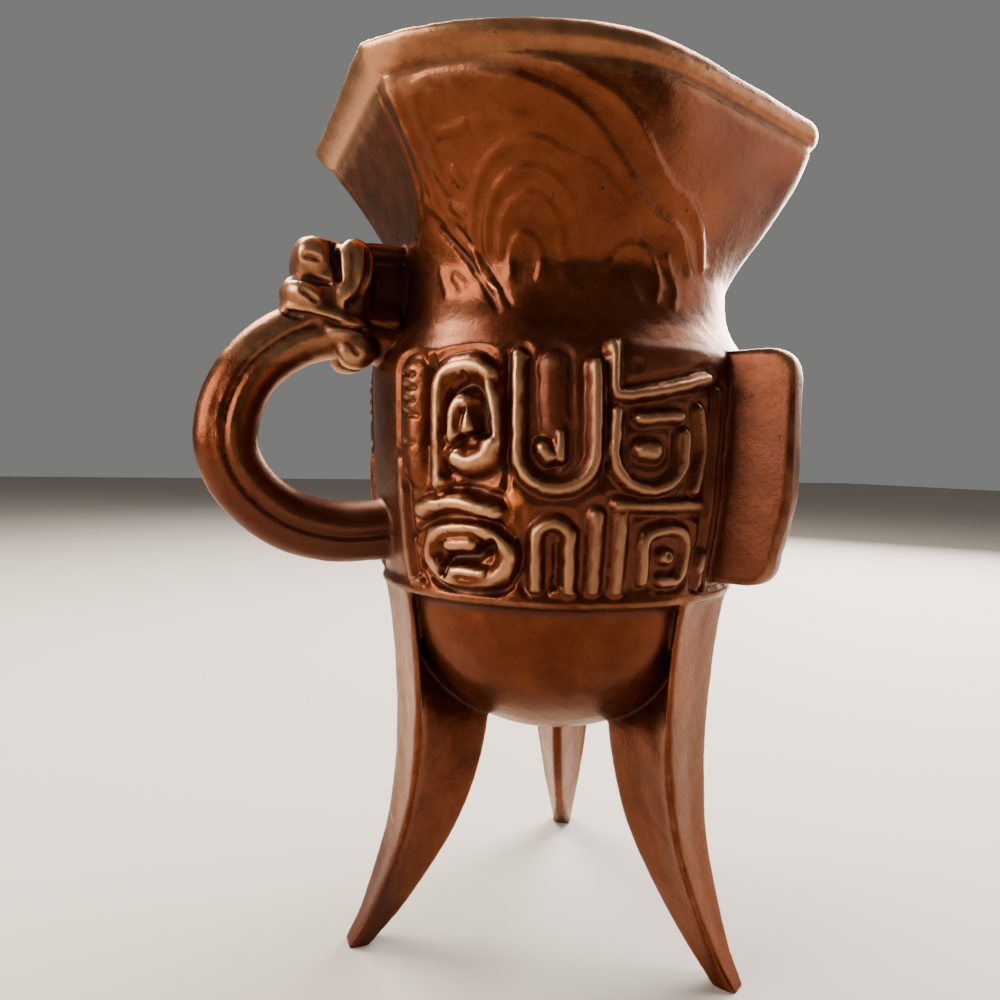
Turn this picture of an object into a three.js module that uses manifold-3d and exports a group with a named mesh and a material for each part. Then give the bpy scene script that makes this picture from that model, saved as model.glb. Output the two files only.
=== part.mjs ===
// A small bronze wine cup on three legs, a jue, cast as one hollow piece: a round body with a raised
// scroll band, a flared mouth with two flat ends, a loop handle under a beast's head, two side flanges
// and three blade legs. Millimetres, +Z up, standing on the table, with the handle towards -X.
import * as THREE from "three";
import { mergeVertices } from "three/addons/utils/BufferGeometryUtils.js";
import Module from "manifold-3d";

const wasm = await Module();
wasm.setup();

// Heights above the table.
const BOWL_BOTTOM_Z = 42.5;
const BOWL_TOP_Z = 73;
const BAND_BOTTOM_Z = 74;
const BAND_TOP_Z = 117;
const SHOULDER_TOP_Z = 126;
const NECK_Z = 134;
const RIM_Z = 167;

// The round body, by radius.
const BOWL_RADIUS = 34;
const BAND_BOTTOM_RADIUS = 36.4;
const BAND_TOP_RADIUS = 39.8;
const NECK_RADIUS = 34;
const WALL = 3;
const BASE_THICKNESS = 4;

// The mouth, in plan: a flat end over the handle, a narrower flat end opposite, and bulging sides.
const MOUTH_BACK = 50;
const MOUTH_FRONT = 44;
const MOUTH_HALF_WIDTH = 47.5;
const MOUTH_WIDEST_X = -8;
const MOUTH_BACK_ROUND = 50;
const FRONT_END_HALF_WIDTH = 29.5;
const FRONT_CORNER = 5.5;
const LIP_HEIGHT = 4.8;
const LIP_PROUD = 0.9;
const LIP_EDGE = 1.1;
const LIP_Z = RIM_Z - LIP_HEIGHT;

// The legs, under the handle and under each flange.
const LEG_ANGLES = [180, 60, -60];
const FOOT_OUTER_RADIUS = 45;
const FOOT_DEPTH = 4.8;
const FOOT_WIDTH = 4.8;
const LEG_WAIST_RADIUS = 33.1;
const LEG_TOP_WIDTH = 19.6;
const LEG_RIDGE_RADIUS = 14.8;
const LEG_RIDGE_WIDTH = 2.4;
const LEG_TOP_Z = BAND_BOTTOM_Z + 3;
const FOOT_HEIGHT = 8;

// The loop handle at -X.
const HANDLE_REACH = 74.5;
const HANDLE_DEPTH = 11.8;
const HANDLE_WIDTH = 11.5;
const HANDLE_TOP_Z = 124;
const HANDLE_BOTTOM_Z = 85;
const HANDLE_GROOVE = 1.2;

// The beast's head on top of the handle.
const HEAD_LENGTH = 20;
const HEAD_WIDTH = 17;
const HEAD_TOP_Z = 141;
const HEAD_SQUARENESS = 0.75;

// The flanges over the two front legs.
const FLANGE_ANGLES = [60, -60];
const FLANGE_REACH = 52;
const FLANGE_THICKNESS = 5;
const FLANGE_BOTTOM_Z = 77;
const FLANGE_TOP_Z = 120.5;
const FLANGE_CORNER = 5;
const FLANGE_TAPER = 2.6;
const FLANGE_EDGE = 0.6;

// The ornament: how far it stands proud, and the slope of its sides.
const BAND_RELIEF = 1.5;
const BORDER_PROUD = 0.9;
const BORDER_HEIGHT = 2.6;
const NECK_RELIEF = 0.9;
const STROKE_SLOPE = 0.55;
const STROKE_ROOT = 1.4;

// Steps round the body, and along the curves.
const BODY_SIDES = 36;
const CAVITY_SIDES = 24;
const BOWL_STEPS = 6;
const FLARE_STEPS = 5;
const HANDLE_STEPS = 15;
const RING_SIDES = 8;
const BOSS_SIDES = 6;

// How far a cutter runs past what it cuts.
const CLEAR = 2;

const radians = THREE.MathUtils.degToRad;
const { smoothstep, lerp } = THREE.MathUtils;

// A closed three.js geometry as a solid that can be joined and cut.
function solid(geometry) {
  const bare = new THREE.BufferGeometry();
  bare.setAttribute("position", geometry.getAttribute("position"));
  bare.setIndex(geometry.index);
  const merged = mergeVertices(bare, 1e-4);
  return new wasm.Manifold(
    new wasm.Mesh({
      numProp: 3,
      vertProperties: new Float32Array(merged.attributes.position.array),
      triVerts: new Uint32Array(merged.index.array),
    }),
  );
}

// A solid as a geometry for a mesh.
function geometryOf(manifold) {
  const mesh = manifold.getMesh();
  const geometry = new THREE.BufferGeometry();
  geometry.setAttribute("position", new THREE.BufferAttribute(mesh.vertProperties, 3));
  geometry.setIndex(new THREE.BufferAttribute(mesh.triVerts, 1));
  return geometry;
}

// Moves every vertex of a geometry by a function from one point to another.
function reshape(geometry, move) {
  const position = geometry.getAttribute("position");
  const point = new THREE.Vector3();
  for (let i = 0; i < position.count; i++) {
    point.fromBufferAttribute(position, i);
    move(point);
    position.setXYZ(i, point.x, point.y, point.z);
  }
  return geometry;
}

// The body's wall between the bowl and the neck, as radius and height.
const WALL_PROFILE = [
  [BOWL_RADIUS, BOWL_TOP_Z],
  [BAND_BOTTOM_RADIUS, BAND_BOTTOM_Z],
  [BAND_BOTTOM_RADIUS + BORDER_PROUD, BAND_BOTTOM_Z + 0.4 * BORDER_HEIGHT],
  [BAND_BOTTOM_RADIUS, BAND_BOTTOM_Z + BORDER_HEIGHT],
  [lerp(BAND_BOTTOM_RADIUS, BAND_TOP_RADIUS, 0.68), lerp(BAND_BOTTOM_Z, BAND_TOP_Z, 0.4)],
  [BAND_TOP_RADIUS, BAND_TOP_Z - 1],
  [lerp(NECK_RADIUS, BAND_TOP_RADIUS, 0.9), lerp(BAND_TOP_Z, SHOULDER_TOP_Z, 0.2)],
  [lerp(NECK_RADIUS, BAND_TOP_RADIUS, 0.55), lerp(BAND_TOP_Z, SHOULDER_TOP_Z, 0.6)],
  [lerp(NECK_RADIUS, BAND_TOP_RADIUS, 0.2), SHOULDER_TOP_Z],
  [NECK_RADIUS, NECK_Z],
];

// The radius of the outside below the neck, at a height.
function wallRadius(z) {
  for (let i = 1; i < WALL_PROFILE.length; i++) {
    const [lowRadius, lowZ] = WALL_PROFILE[i - 1];
    const [highRadius, highZ] = WALL_PROFILE[i];
    if (z <= highZ) return lerp(lowRadius, highRadius, (z - lowZ) / (highZ - lowZ));
  }
  return NECK_RADIUS;
}

// One half of the mouth's outline before its back end is cut flat.
const mouthOutline = new THREE.Shape();
mouthOutline.moveTo(MOUTH_FRONT, 0);
mouthOutline.lineTo(MOUTH_FRONT, FRONT_END_HALF_WIDTH - FRONT_CORNER);
mouthOutline.quadraticCurveTo(
  MOUTH_FRONT,
  FRONT_END_HALF_WIDTH,
  MOUTH_FRONT - FRONT_CORNER,
  FRONT_END_HALF_WIDTH + 0.35 * FRONT_CORNER,
);
mouthOutline.lineTo(lerp(MOUTH_WIDEST_X, MOUTH_FRONT, 0.3), 0.91 * MOUTH_HALF_WIDTH);
mouthOutline.quadraticCurveTo(
  lerp(MOUTH_WIDEST_X, MOUTH_FRONT, 0.08),
  MOUTH_HALF_WIDTH,
  MOUTH_WIDEST_X,
  MOUTH_HALF_WIDTH,
);
mouthOutline.absellipse(
  MOUTH_WIDEST_X,
  0,
  MOUTH_BACK_ROUND,
  MOUTH_HALF_WIDTH,
  Math.PI / 2,
  Math.PI,
  false,
);
const MOUTH_POINTS = mouthOutline.getPoints(12);

// The mouth's radius at an angle from +X.
function mouthRadius(angle) {
  const turn = Math.abs(Math.atan2(Math.sin(angle), Math.cos(angle)));
  for (let i = 1; i < MOUTH_POINTS.length; i++) {
    const low = MOUTH_POINTS[i - 1];
    const high = MOUTH_POINTS[i];
    const highTurn = Math.atan2(high.y, high.x);
    if (turn > highTurn) continue;
    const edge = new THREE.Vector2().subVectors(high, low);
    const across = Math.cos(turn) * edge.y - Math.sin(turn) * edge.x;
    if (Math.abs(across) < 1e-6) return high.length();
    return (low.x * edge.y - low.y * edge.x) / across;
  }
  return MOUTH_POINTS[MOUTH_POINTS.length - 1].length();
}

// How far the flare has opened at a height, from 0 at the neck to 1 at the rim. It rises in an S on the
// front and sides, and more slowly towards the back.
function flareShare(angle, z) {
  const share = THREE.MathUtils.clamp((z - NECK_Z) / (RIM_Z - NECK_Z), 0, 1);
  const turn = Math.abs(Math.atan2(Math.sin(angle), Math.cos(angle)));
  const back = smoothstep(turn, radians(100), radians(150));
  return lerp(Math.sin((share * Math.PI) / 2) ** 1.3, share ** 1.4, back);
}

// How much wider than the neck the round flare is, at an angle and a height.
function spread(angle, z) {
  return (mouthRadius(angle) - NECK_RADIUS) * flareShare(angle, z);
}

// How far behind the axis the flat back of the flare is at a height: it narrows down to a point at the
// neck, over the handle.
function backReach(z) {
  const share = THREE.MathUtils.clamp((z - NECK_Z) / (RIM_Z - NECK_Z), 0, 1);
  return lerp(NECK_RADIUS, MOUTH_BACK, share ** 1.9);
}

// The outside of the flare at an angle and a height.
function flareRadius(angle, z) {
  const flat = backReach(z) / Math.max(-Math.cos(angle), 1e-3);
  return Math.min(NECK_RADIUS + spread(angle, z), flat) - LIP_PROUD * smoothstep(z, NECK_Z, LIP_Z);
}

// The outside of the vessel at an angle and a height. Between two rows of the flare it runs straight.
function surfaceRadius(angle, z) {
  if (z <= NECK_Z) return wallRadius(z);
  const row = (LIP_Z - NECK_Z) / FLARE_STEPS;
  const low = NECK_Z + row * Math.floor((z - NECK_Z) / row);
  return lerp(flareRadius(angle, low), flareRadius(angle, low + row), (z - low) / row);
}

// A profile turned round the axis, and opened out above the neck to the mouth's outline.
function turned(profile, sides) {
  const points = profile.map(([radius, z]) => new THREE.Vector2(radius, z));
  const geometry = new THREE.LatheGeometry(points, sides).rotateX(Math.PI / 2);
  reshape(geometry, (point) => {
    const radius = Math.hypot(point.x, point.y);
    if (radius < 0.01 || point.z <= NECK_Z) return;
    const angle = Math.atan2(point.y, point.x);
    const grown = (radius + spread(angle, point.z)) / radius;
    point.x *= grown;
    point.y *= grown;
  });
  return solid(geometry);
}

// Everything behind the flat back of the flare, moved in by a distance, with a step for the lip.
function behindFlare(inset, lipStep) {
  const shape = new THREE.Shape();
  shape.moveTo(-backReach(NECK_Z) + inset, NECK_Z);
  for (let i = 1; i <= FLARE_STEPS; i++) {
    const z = lerp(NECK_Z, LIP_Z, i / FLARE_STEPS);
    shape.lineTo(-backReach(z) + inset + lipStep * smoothstep(z, NECK_Z, LIP_Z), z);
  }
  for (const [share, step] of [[0.2, 0.3], [0.5, 0], [1, 0]]) {
    const z = lerp(LIP_Z, RIM_Z, share);
    shape.lineTo(-backReach(z) + inset + lipStep * step, z);
  }
  shape.lineTo(-MOUTH_BACK + inset, RIM_Z + CLEAR);
  shape.lineTo(-2 * MOUTH_BACK, RIM_Z + CLEAR);
  shape.lineTo(-2 * MOUTH_BACK, NECK_Z);
  const width = 4 * MOUTH_HALF_WIDTH;
  const geometry = new THREE.ExtrudeGeometry(shape, { depth: width, bevelEnabled: false, steps: 1 });
  return solid(geometry.rotateX(Math.PI / 2).translate(0, width / 2, 0));
}

// The bowl's profile, as part of an ellipse, from the axis out to the wall.
function bowlProfile(radius, bottom) {
  const depth = BOWL_TOP_Z - bottom;
  return Array.from({ length: BOWL_STEPS }, (_, i) => {
    const turn = (i / BOWL_STEPS) * (Math.PI / 2);
    return [radius * Math.sin(turn), BOWL_TOP_Z - depth * Math.cos(turn)];
  });
}

// The heights at which the flare's rows stand.
function flareHeights(top) {
  return Array.from({ length: FLARE_STEPS }, (_, i) => lerp(NECK_Z, top, (i + 1) / FLARE_STEPS));
}

function vesselOutside() {
  const profile = [
    ...bowlProfile(BOWL_RADIUS, BOWL_BOTTOM_Z),
    ...WALL_PROFILE,
    ...flareHeights(LIP_Z).map((z) => [NECK_RADIUS - LIP_PROUD * smoothstep(z, NECK_Z, LIP_Z), z]),
    [NECK_RADIUS - 0.3 * LIP_PROUD, LIP_Z + 0.2 * LIP_HEIGHT],
    [NECK_RADIUS, LIP_Z + 0.5 * LIP_HEIGHT],
    [NECK_RADIUS, RIM_Z - 0.6 * LIP_EDGE],
    [NECK_RADIUS - LIP_EDGE, RIM_Z],
    [0, RIM_Z],
  ];
  return turned(profile, BODY_SIDES).subtract(behindFlare(0, LIP_PROUD));
}

function vesselInside() {
  const inner = WALL_PROFILE.filter(([, z]) => z > BAND_BOTTOM_Z).map(([radius, z]) => [radius - WALL, z]);
  const profile = [
    ...bowlProfile(BOWL_RADIUS - WALL, BOWL_BOTTOM_Z + BASE_THICKNESS),
    ...inner,
    ...flareHeights(RIM_Z - LIP_EDGE).map((z) => [NECK_RADIUS - WALL, z]),
    [NECK_RADIUS - WALL + LIP_EDGE, RIM_Z],
    [NECK_RADIUS - WALL + LIP_EDGE, RIM_Z + CLEAR],
    [0, RIM_Z + CLEAR],
  ];
  return turned(profile, CAVITY_SIDES).subtract(behindFlare(WALL, 0));
}

// One blade leg: its side view extruded, then widened from the inner ridge to the flat outer face.
function leg(angle) {
  const top = LEG_TOP_Z;
  const outer = new THREE.SplineCurve([
    new THREE.Vector2(FOOT_OUTER_RADIUS, 0),
    new THREE.Vector2(lerp(LEG_WAIST_RADIUS, FOOT_OUTER_RADIUS, 0.62), 0.11 * top),
    new THREE.Vector2(lerp(LEG_WAIST_RADIUS, FOOT_OUTER_RADIUS, 0.14), 0.34 * top),
    new THREE.Vector2(LEG_WAIST_RADIUS, 0.6 * top),
    new THREE.Vector2(lerp(LEG_WAIST_RADIUS, BAND_BOTTOM_RADIUS, 0.4), 0.86 * top),
    new THREE.Vector2(BAND_BOTTOM_RADIUS, top),
  ]).getPoints(9);
  const footInner = FOOT_OUTER_RADIUS - FOOT_DEPTH;
  const inner = new THREE.SplineCurve([
    new THREE.Vector2(LEG_RIDGE_RADIUS, 0.66 * top),
    new THREE.Vector2(lerp(LEG_RIDGE_RADIUS, footInner, 0.03), 0.52 * top),
    new THREE.Vector2(lerp(LEG_RIDGE_RADIUS, footInner, 0.22), 0.32 * top),
    new THREE.Vector2(lerp(LEG_RIDGE_RADIUS, footInner, 0.62), 0.12 * top),
    new THREE.Vector2(footInner, 0),
  ]).getPoints(9);
  const topInner = new THREE.Vector2(BOWL_RADIUS - WALL, top);
  const shape = new THREE.Shape([...outer, topInner, ...inner]);
  const geometry = new THREE.ExtrudeGeometry(shape, { depth: 2, bevelEnabled: false, steps: 1 });
  geometry.translate(0, 0, -1).rotateX(Math.PI / 2);
  const wide = [...outer, topInner];
  reshape(geometry, (point) => {
    const onOuterFace = wide.some((spot) => Math.hypot(spot.x - point.x, spot.y - point.z) < 1e-3);
    const outerWidth = lerp(FOOT_WIDTH, LEG_TOP_WIDTH, 1 - (1 - point.z / top) ** 2);
    const ridgeWidth = lerp(FOOT_WIDTH, LEG_RIDGE_WIDTH, Math.min(point.z / FOOT_HEIGHT, 1));
    point.y *= (onOuterFace ? outerWidth : ridgeWidth) / 2;
  });
  return solid(geometry.rotateZ(radians(angle)));
}

// The loop of the handle, as the curve that its middle follows, in the plane of the axis.
function handleCurve() {
  const middle = (HANDLE_TOP_Z + HANDLE_BOTTOM_Z) / 2;
  const reach = HANDLE_REACH - HANDLE_DEPTH / 2;
  const rise = (HANDLE_TOP_Z - HANDLE_BOTTOM_Z) / 2;
  const root = wallRadius(HANDLE_BOTTOM_Z) - WALL / 2;
  const bow = reach - root;
  const at = (share, lift) => new THREE.Vector3(-(root + share * bow), 0, middle + lift * rise);
  return new THREE.CatmullRomCurve3([
    at(0, 0.98),
    at(0.36, 1.02),
    at(0.66, 0.86),
    at(0.9, 0.48),
    at(1, -0.05),
    at(0.92, -0.5),
    at(0.68, -0.86),
    at(0.36, -1.02),
    at(0, -1),
  ]);
}

function handle() {
  const half = HANDLE_WIDTH / 2;
  const depth = HANDLE_DEPTH / 2;
  const quarter = [
    [0.5 * half, depth],
    [half, 0.5 * depth],
    [half - HANDLE_GROOVE, 0],
  ];
  const points = [
    ...quarter,
    ...quarter.slice(0, 2).reverse().map(([x, y]) => [x, -y]),
    ...quarter.map(([x, y]) => [-x, -y]),
    ...quarter.slice(0, 2).reverse().map(([x, y]) => [-x, y]),
  ];
  // The sweep lays the section's own X along the loop's plane and its Y across it.
  const shape = new THREE.Shape(points.map(([x, y]) => new THREE.Vector2(y, x)));
  return solid(
    new THREE.ExtrudeGeometry(shape, {
      steps: HANDLE_STEPS,
      extrudePath: handleCurve(),
      bevelEnabled: false,
    }),
  );
}

// A rounded block of the head, at a share of the head's length, width and height, tipped towards the body.
function lump(along, across, up, length, width, height, tilt = 0) {
  const headHeight = HEAD_TOP_Z - HANDLE_TOP_Z;
  const squared = (share) => Math.sign(share) * Math.abs(share) ** HEAD_SQUARENESS;
  const geometry = new THREE.SphereGeometry(1, 8, 6).rotateX(Math.PI / 2);
  reshape(geometry, (point) => point.set(squared(point.x), squared(point.y), squared(point.z)));
  geometry.scale(length * HEAD_LENGTH, width * HEAD_WIDTH, height * headHeight);
  geometry.rotateY(radians(tilt));
  const start = wallRadius(HANDLE_TOP_Z) - WALL / 2;
  geometry.translate(-(start + along * HEAD_LENGTH), across * HEAD_WIDTH, HANDLE_TOP_Z + up * headHeight);
  return solid(geometry);
}

// The beast's head, looking up and away from the body: a skull with a snout and a brow, a collar, and a
// narrow neck and a horn that join it to the vessel. Leaf ears and jaw curls stand out on both sides.
function beastHead() {
  const pieces = [
    lump(0.72, 0, 0.44, 0.38, 0.38, 0.49),
    lump(0.87, 0, 0.7, 0.18, 0.35, 0.25, 8),
    lump(0.96, 0, 0.28, 0.19, 0.41, 0.19, 30),
    lump(0.23, 0, 0.84, 0.36, 0.25, 0.18),
    lump(0.2, 0, 0.34, 0.34, 0.2, 0.48),
    lump(0.76, 0, 0.17, 0.44, 0.43, 0.13, 12),
  ];
  for (const side of [-1, 1]) {
    pieces.push(lump(0.57, 0.38 * side, 0.62, 0.14, 0.12, 0.36));
    pieces.push(lump(0.5, 0.27 * side, -0.24, 0.21, 0.18, 0.23));
  }
  return wasm.Manifold.union(pieces);
}

// A flange: an upright plate with round outer corners, standing out from the wall.
function flange(angle) {
  const root = NECK_RADIUS - WALL / 2;
  const lowReach = FLANGE_REACH - FLANGE_TAPER;
  const shape = new THREE.Shape();
  shape.moveTo(root, FLANGE_BOTTOM_Z);
  shape.lineTo(lowReach - FLANGE_CORNER, FLANGE_BOTTOM_Z);
  shape.quadraticCurveTo(lowReach, FLANGE_BOTTOM_Z, lowReach, FLANGE_BOTTOM_Z + FLANGE_CORNER);
  shape.lineTo(FLANGE_REACH, lerp(FLANGE_BOTTOM_Z, FLANGE_TOP_Z, 0.4));
  shape.lineTo(FLANGE_REACH, FLANGE_TOP_Z - FLANGE_CORNER);
  shape.quadraticCurveTo(FLANGE_REACH, FLANGE_TOP_Z, FLANGE_REACH - FLANGE_CORNER, FLANGE_TOP_Z);
  shape.lineTo(root, FLANGE_TOP_Z);
  const geometry = new THREE.ExtrudeGeometry(shape, {
    depth: FLANGE_THICKNESS - 2 * FLANGE_EDGE,
    bevelThickness: FLANGE_EDGE,
    bevelSize: FLANGE_EDGE,
    bevelOffset: -FLANGE_EDGE,
    bevelSegments: 1,
    curveSegments: 4,
  });
  geometry.translate(0, 0, FLANGE_EDGE - FLANGE_THICKNESS / 2);
  return solid(geometry.rotateX(Math.PI / 2).rotateZ(radians(angle)));
}

// A flat stroke's outline on the drawing: a centre line, given a width.
function strokeShape(line, width) {
  const left = [];
  const right = [];
  line.forEach(([u, v], i) => {
    const [beforeU, beforeV] = line[Math.max(i - 1, 0)];
    const [afterU, afterV] = line[Math.min(i + 1, line.length - 1)];
    const length = Math.hypot(afterU - beforeU, afterV - beforeV);
    const across = [(beforeV - afterV) / length, (afterU - beforeU) / length];
    left.push(new THREE.Vector2(u + (across[0] * width) / 2, v + (across[1] * width) / 2));
    right.push(new THREE.Vector2(u - (across[0] * width) / 2, v - (across[1] * width) / 2));
  });
  return new THREE.Shape([...right, ...left.reverse()]);
}

// Points along part of an ellipse, by angle in degrees.
function arc(centreU, centreV, radiusU, radiusV, from, to, steps) {
  return Array.from({ length: steps + 1 }, (_, i) => {
    const turn = radians(lerp(from, to, i / steps));
    return [centreU + radiusU * Math.cos(turn), centreV + radiusV * Math.sin(turn)];
  });
}

// The corners of a closed oval on the drawing.
function oval(u, v, radiusU, radiusV, sides) {
  const corners = arc(u, v, radiusU, radiusV, 0, 360 - 360 / sides, sides - 1);
  return corners.map(([x, y]) => new THREE.Vector2(x, y));
}

// A round boss on the drawing.
function bossShape(u, v, radius) {
  return new THREE.Shape(oval(u, v, radius, radius, BOSS_SIDES));
}

// A closed oval ring on the drawing.
function ringShape(u, v, radiusU, radiusV, width) {
  const edge = (grow) => oval(u, v, radiusU + grow, radiusV + grow, RING_SIDES);
  const shape = new THREE.Shape(edge(width / 2));
  shape.holes.push(new THREE.Path(edge(-width / 2)));
  return shape;
}

// The scroll band's drawing, in units of about a millimetre: u runs 32 either way from a panel's middle,
// v from 0 at the band's bottom to 43 at its top.
const DRAWING_HALF_WIDTH = 32;
const DRAWING_HEIGHT = 43;
const bandFigures = [
  // The border, down the sides.
  strokeShape([[-31.2, 24], [-31.2, 3.4]], 2.2),
  strokeShape([[30.9, 3.4], [30.9, 27]], 2),
  // The upper row: a post, a hooked arch, a tongue in a U, a slanting bar over an eye in a ring.
  strokeShape([[-21.4, 20.5], [-21.3, 38.5], [-19.6, 41], [-11.5, 41.3]], 2.6),
  strokeShape([[-18.6, 28], ...arc(-16.5, 33.4, 2.3, 2.6, 180, 0, 3), [-13.9, 31.4]], 2.3),
  strokeShape([[-10.5, 38], ...arc(-14.2, 27.4, 3.7, 3.1, 0, -160, 4)], 2.8),
  strokeShape([[-6.3, 42], ...arc(0, 27, 6.3, 6, 180, 360, 5), [6.3, 41.5]], 2.2),
  strokeShape([[0.4, 41], [0, 30]], 3.2),
  bossShape(-1, 27.6, 2.8),
  strokeShape([[8.6, 36.7], [17.4, 38.3], [27.2, 40.4]], 2.2),
  strokeShape([[13.2, 33.2], ...arc(16.2, 27, 6.6, 6.2, 62, -180, 6), [9.6, 33.6]], 2.1),
  bossShape(15.9, 27.3, 2.5),
  // The lower row: a brow, an oval with two leaves in it, an arch, two posts, a bar over a small ring.
  strokeShape([[-26.2, 16], [-18, 17.7], [-10, 16.6]], 2.2),
  ringShape(-16.5, 8.8, 8.2, 4.6, 2.3),
  strokeShape([[-3.3, 4], ...arc(-0.5, 12, 2.8, 2.6, 180, 0, 3), [2.3, 4]], 2.1),
  strokeShape([[11.2, 4], [11.2, 16.4]], 2.4),
  strokeShape([[14, 17.2], [21, 17.3], [28, 17.2]], 2),
  strokeShape(arc(20.8, 8.9, 4.9, 4.4, -20, 250, 5), 2),
  bossShape(20.8, 8.9, 1.9),
];

// The small strokes between the figures, which only the panels beside the handle have.
const bandTrim = [
  strokeShape([[-27.3, 26], [-27, 41]], 3.2),
  strokeShape([[9.2, 45.5], [9.2, 40]], 2),
  strokeShape([[26.4, 35.4], [27.3, 28.5], [26.4, 21.6]], 2),
  strokeShape([[-20.4, 10.6], [-16.4, 11.1], [-12.8, 9.9]], 1.7),
  strokeShape([[-19.4, 7.1], [-15.4, 6.5], [-11.6, 7.8]], 1.7),
  strokeShape([[7, 4], [7, 16.4]], 2.4),
  strokeShape([[27.6, 4], [27.6, 13.6]], 2),
];

// The drawing on the front of the flare: an arched frame in two lines, a brow and eyes under arches.
const NECK_DRAWING_HEIGHT = 42;
const neckStrokes = [
  strokeShape(
    [[-24.3, 18], [-23.6, 36], [-17, 37.2], [-9, 36.6], [0, 34.4], [17, 21.6], [25, 18.6], [33, 10]],
    1.6,
  ),
  strokeShape(
    [[-20.4, 13], [-20, 32.4], [-12, 33.4], [-3, 30.8], [15, 17], [23, 14], [28.6, 8.4]],
    1.4,
  ),
  strokeShape(arc(-6, 9, 10.4, 15, 172, 8, 6), 1.6),
  strokeShape(arc(-6, 9, 5.4, 8, 172, 8, 4), 1.6),
  strokeShape([[8.6, 7], [12, 11.6], [17.4, 10.6], [20, 5.6]], 1.6),
  strokeShape([[-25.6, 13.6], [-13.4, 0.6]], 1.6),
];

// Wraps a stroke on the vessel: it is sunk in the wall, and its sides slope in as they rise.
function wrapped(shape, relief, place) {
  const geometry = new THREE.ExtrudeGeometry(shape, {
    depth: STROKE_ROOT,
    bevelThickness: relief + STROKE_ROOT,
    bevelSize: STROKE_SLOPE,
    bevelOffset: -STROKE_SLOPE / 2,
    bevelSegments: 1,
  });
  geometry.translate(0, 0, -2 * STROKE_ROOT);
  reshape(geometry, (point) => {
    const sunk = Math.max(point.z, -1.5 * STROKE_ROOT);
    const { angle, z } = place(point.x, point.y);
    const radius = surfaceRadius(angle, z) + sunk;
    point.set(radius * Math.cos(angle), radius * Math.sin(angle), z);
  });
  return geometry;
}

// The middle of each panel, and which way its drawing runs: beside the handle on either side, and
// between the flanges.
const SIDE_PANELS = [
  { middle: -115, way: 1 },
  { middle: 115, way: -1 },
];
const FRONT_PANEL = { middle: 0, way: 1 };
const PANEL_HALF_ANGLE = 47.6;

// The part of the vessel that a drawing covers, from its bottom up.
const BAND = { relief: BAND_RELIEF, bottom: BAND_BOTTOM_Z, top: BAND_TOP_Z, units: DRAWING_HEIGHT };
const FLARE = { relief: NECK_RELIEF, bottom: SHOULDER_TOP_Z, top: RIM_Z, units: NECK_DRAWING_HEIGHT };

function ornament(strokes, zone, panels) {
  return panels.flatMap(({ middle, way }) =>
    strokes.map((shape) => {
      const geometry = wrapped(shape, zone.relief, (u, v) => ({
        angle: radians(middle + (way * u * PANEL_HALF_ANGLE) / DRAWING_HALF_WIDTH),
        z: lerp(zone.bottom, zone.top, v / zone.units),
      }));
      return solid(way > 0 ? geometry : turnedInsideOut(geometry));
    }),
  );
}

// A mirrored geometry has its faces turned round, so this turns them back.
function turnedInsideOut(geometry) {
  const flipped = geometry.index ? geometry : mergeVertices(bareCopy(geometry), 1e-4);
  const index = flipped.index.array;
  for (let i = 0; i < index.length; i += 3) {
    [index[i + 1], index[i + 2]] = [index[i + 2], index[i + 1]];
  }
  return flipped;
}

function bareCopy(geometry) {
  return new THREE.BufferGeometry().setAttribute("position", geometry.getAttribute("position"));
}

const outside = wasm.Manifold.union([
  vesselOutside(),
  ...LEG_ANGLES.map(leg),
  handle(),
  beastHead(),
  ...FLANGE_ANGLES.map(flange),
  ...ornament(bandFigures, BAND, [...SIDE_PANELS, FRONT_PANEL]),
  ...ornament(bandTrim, BAND, SIDE_PANELS),
  ...ornament(neckStrokes, FLARE, SIDE_PANELS),
]);

const bronze = new THREE.MeshStandardMaterial({ color: 0x7a4020, roughness: 0.36, metalness: 0.9 });
const jue = new THREE.Mesh(geometryOf(outside.subtract(vesselInside())), bronze);
jue.name = "jue";
jue.geometry.computeBoundingBox();
const box = jue.geometry.boundingBox;
jue.position.set(-(box.min.x + box.max.x) / 2, -(box.min.y + box.max.y) / 2, -box.min.z);

const cup = new THREE.Group();
cup.add(jue);
export default cup;
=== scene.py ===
import math

import bmesh
import bpy
import numpy as np
from mathutils import Matrix, Vector
from mathutils.kdtree import KDTree


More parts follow.
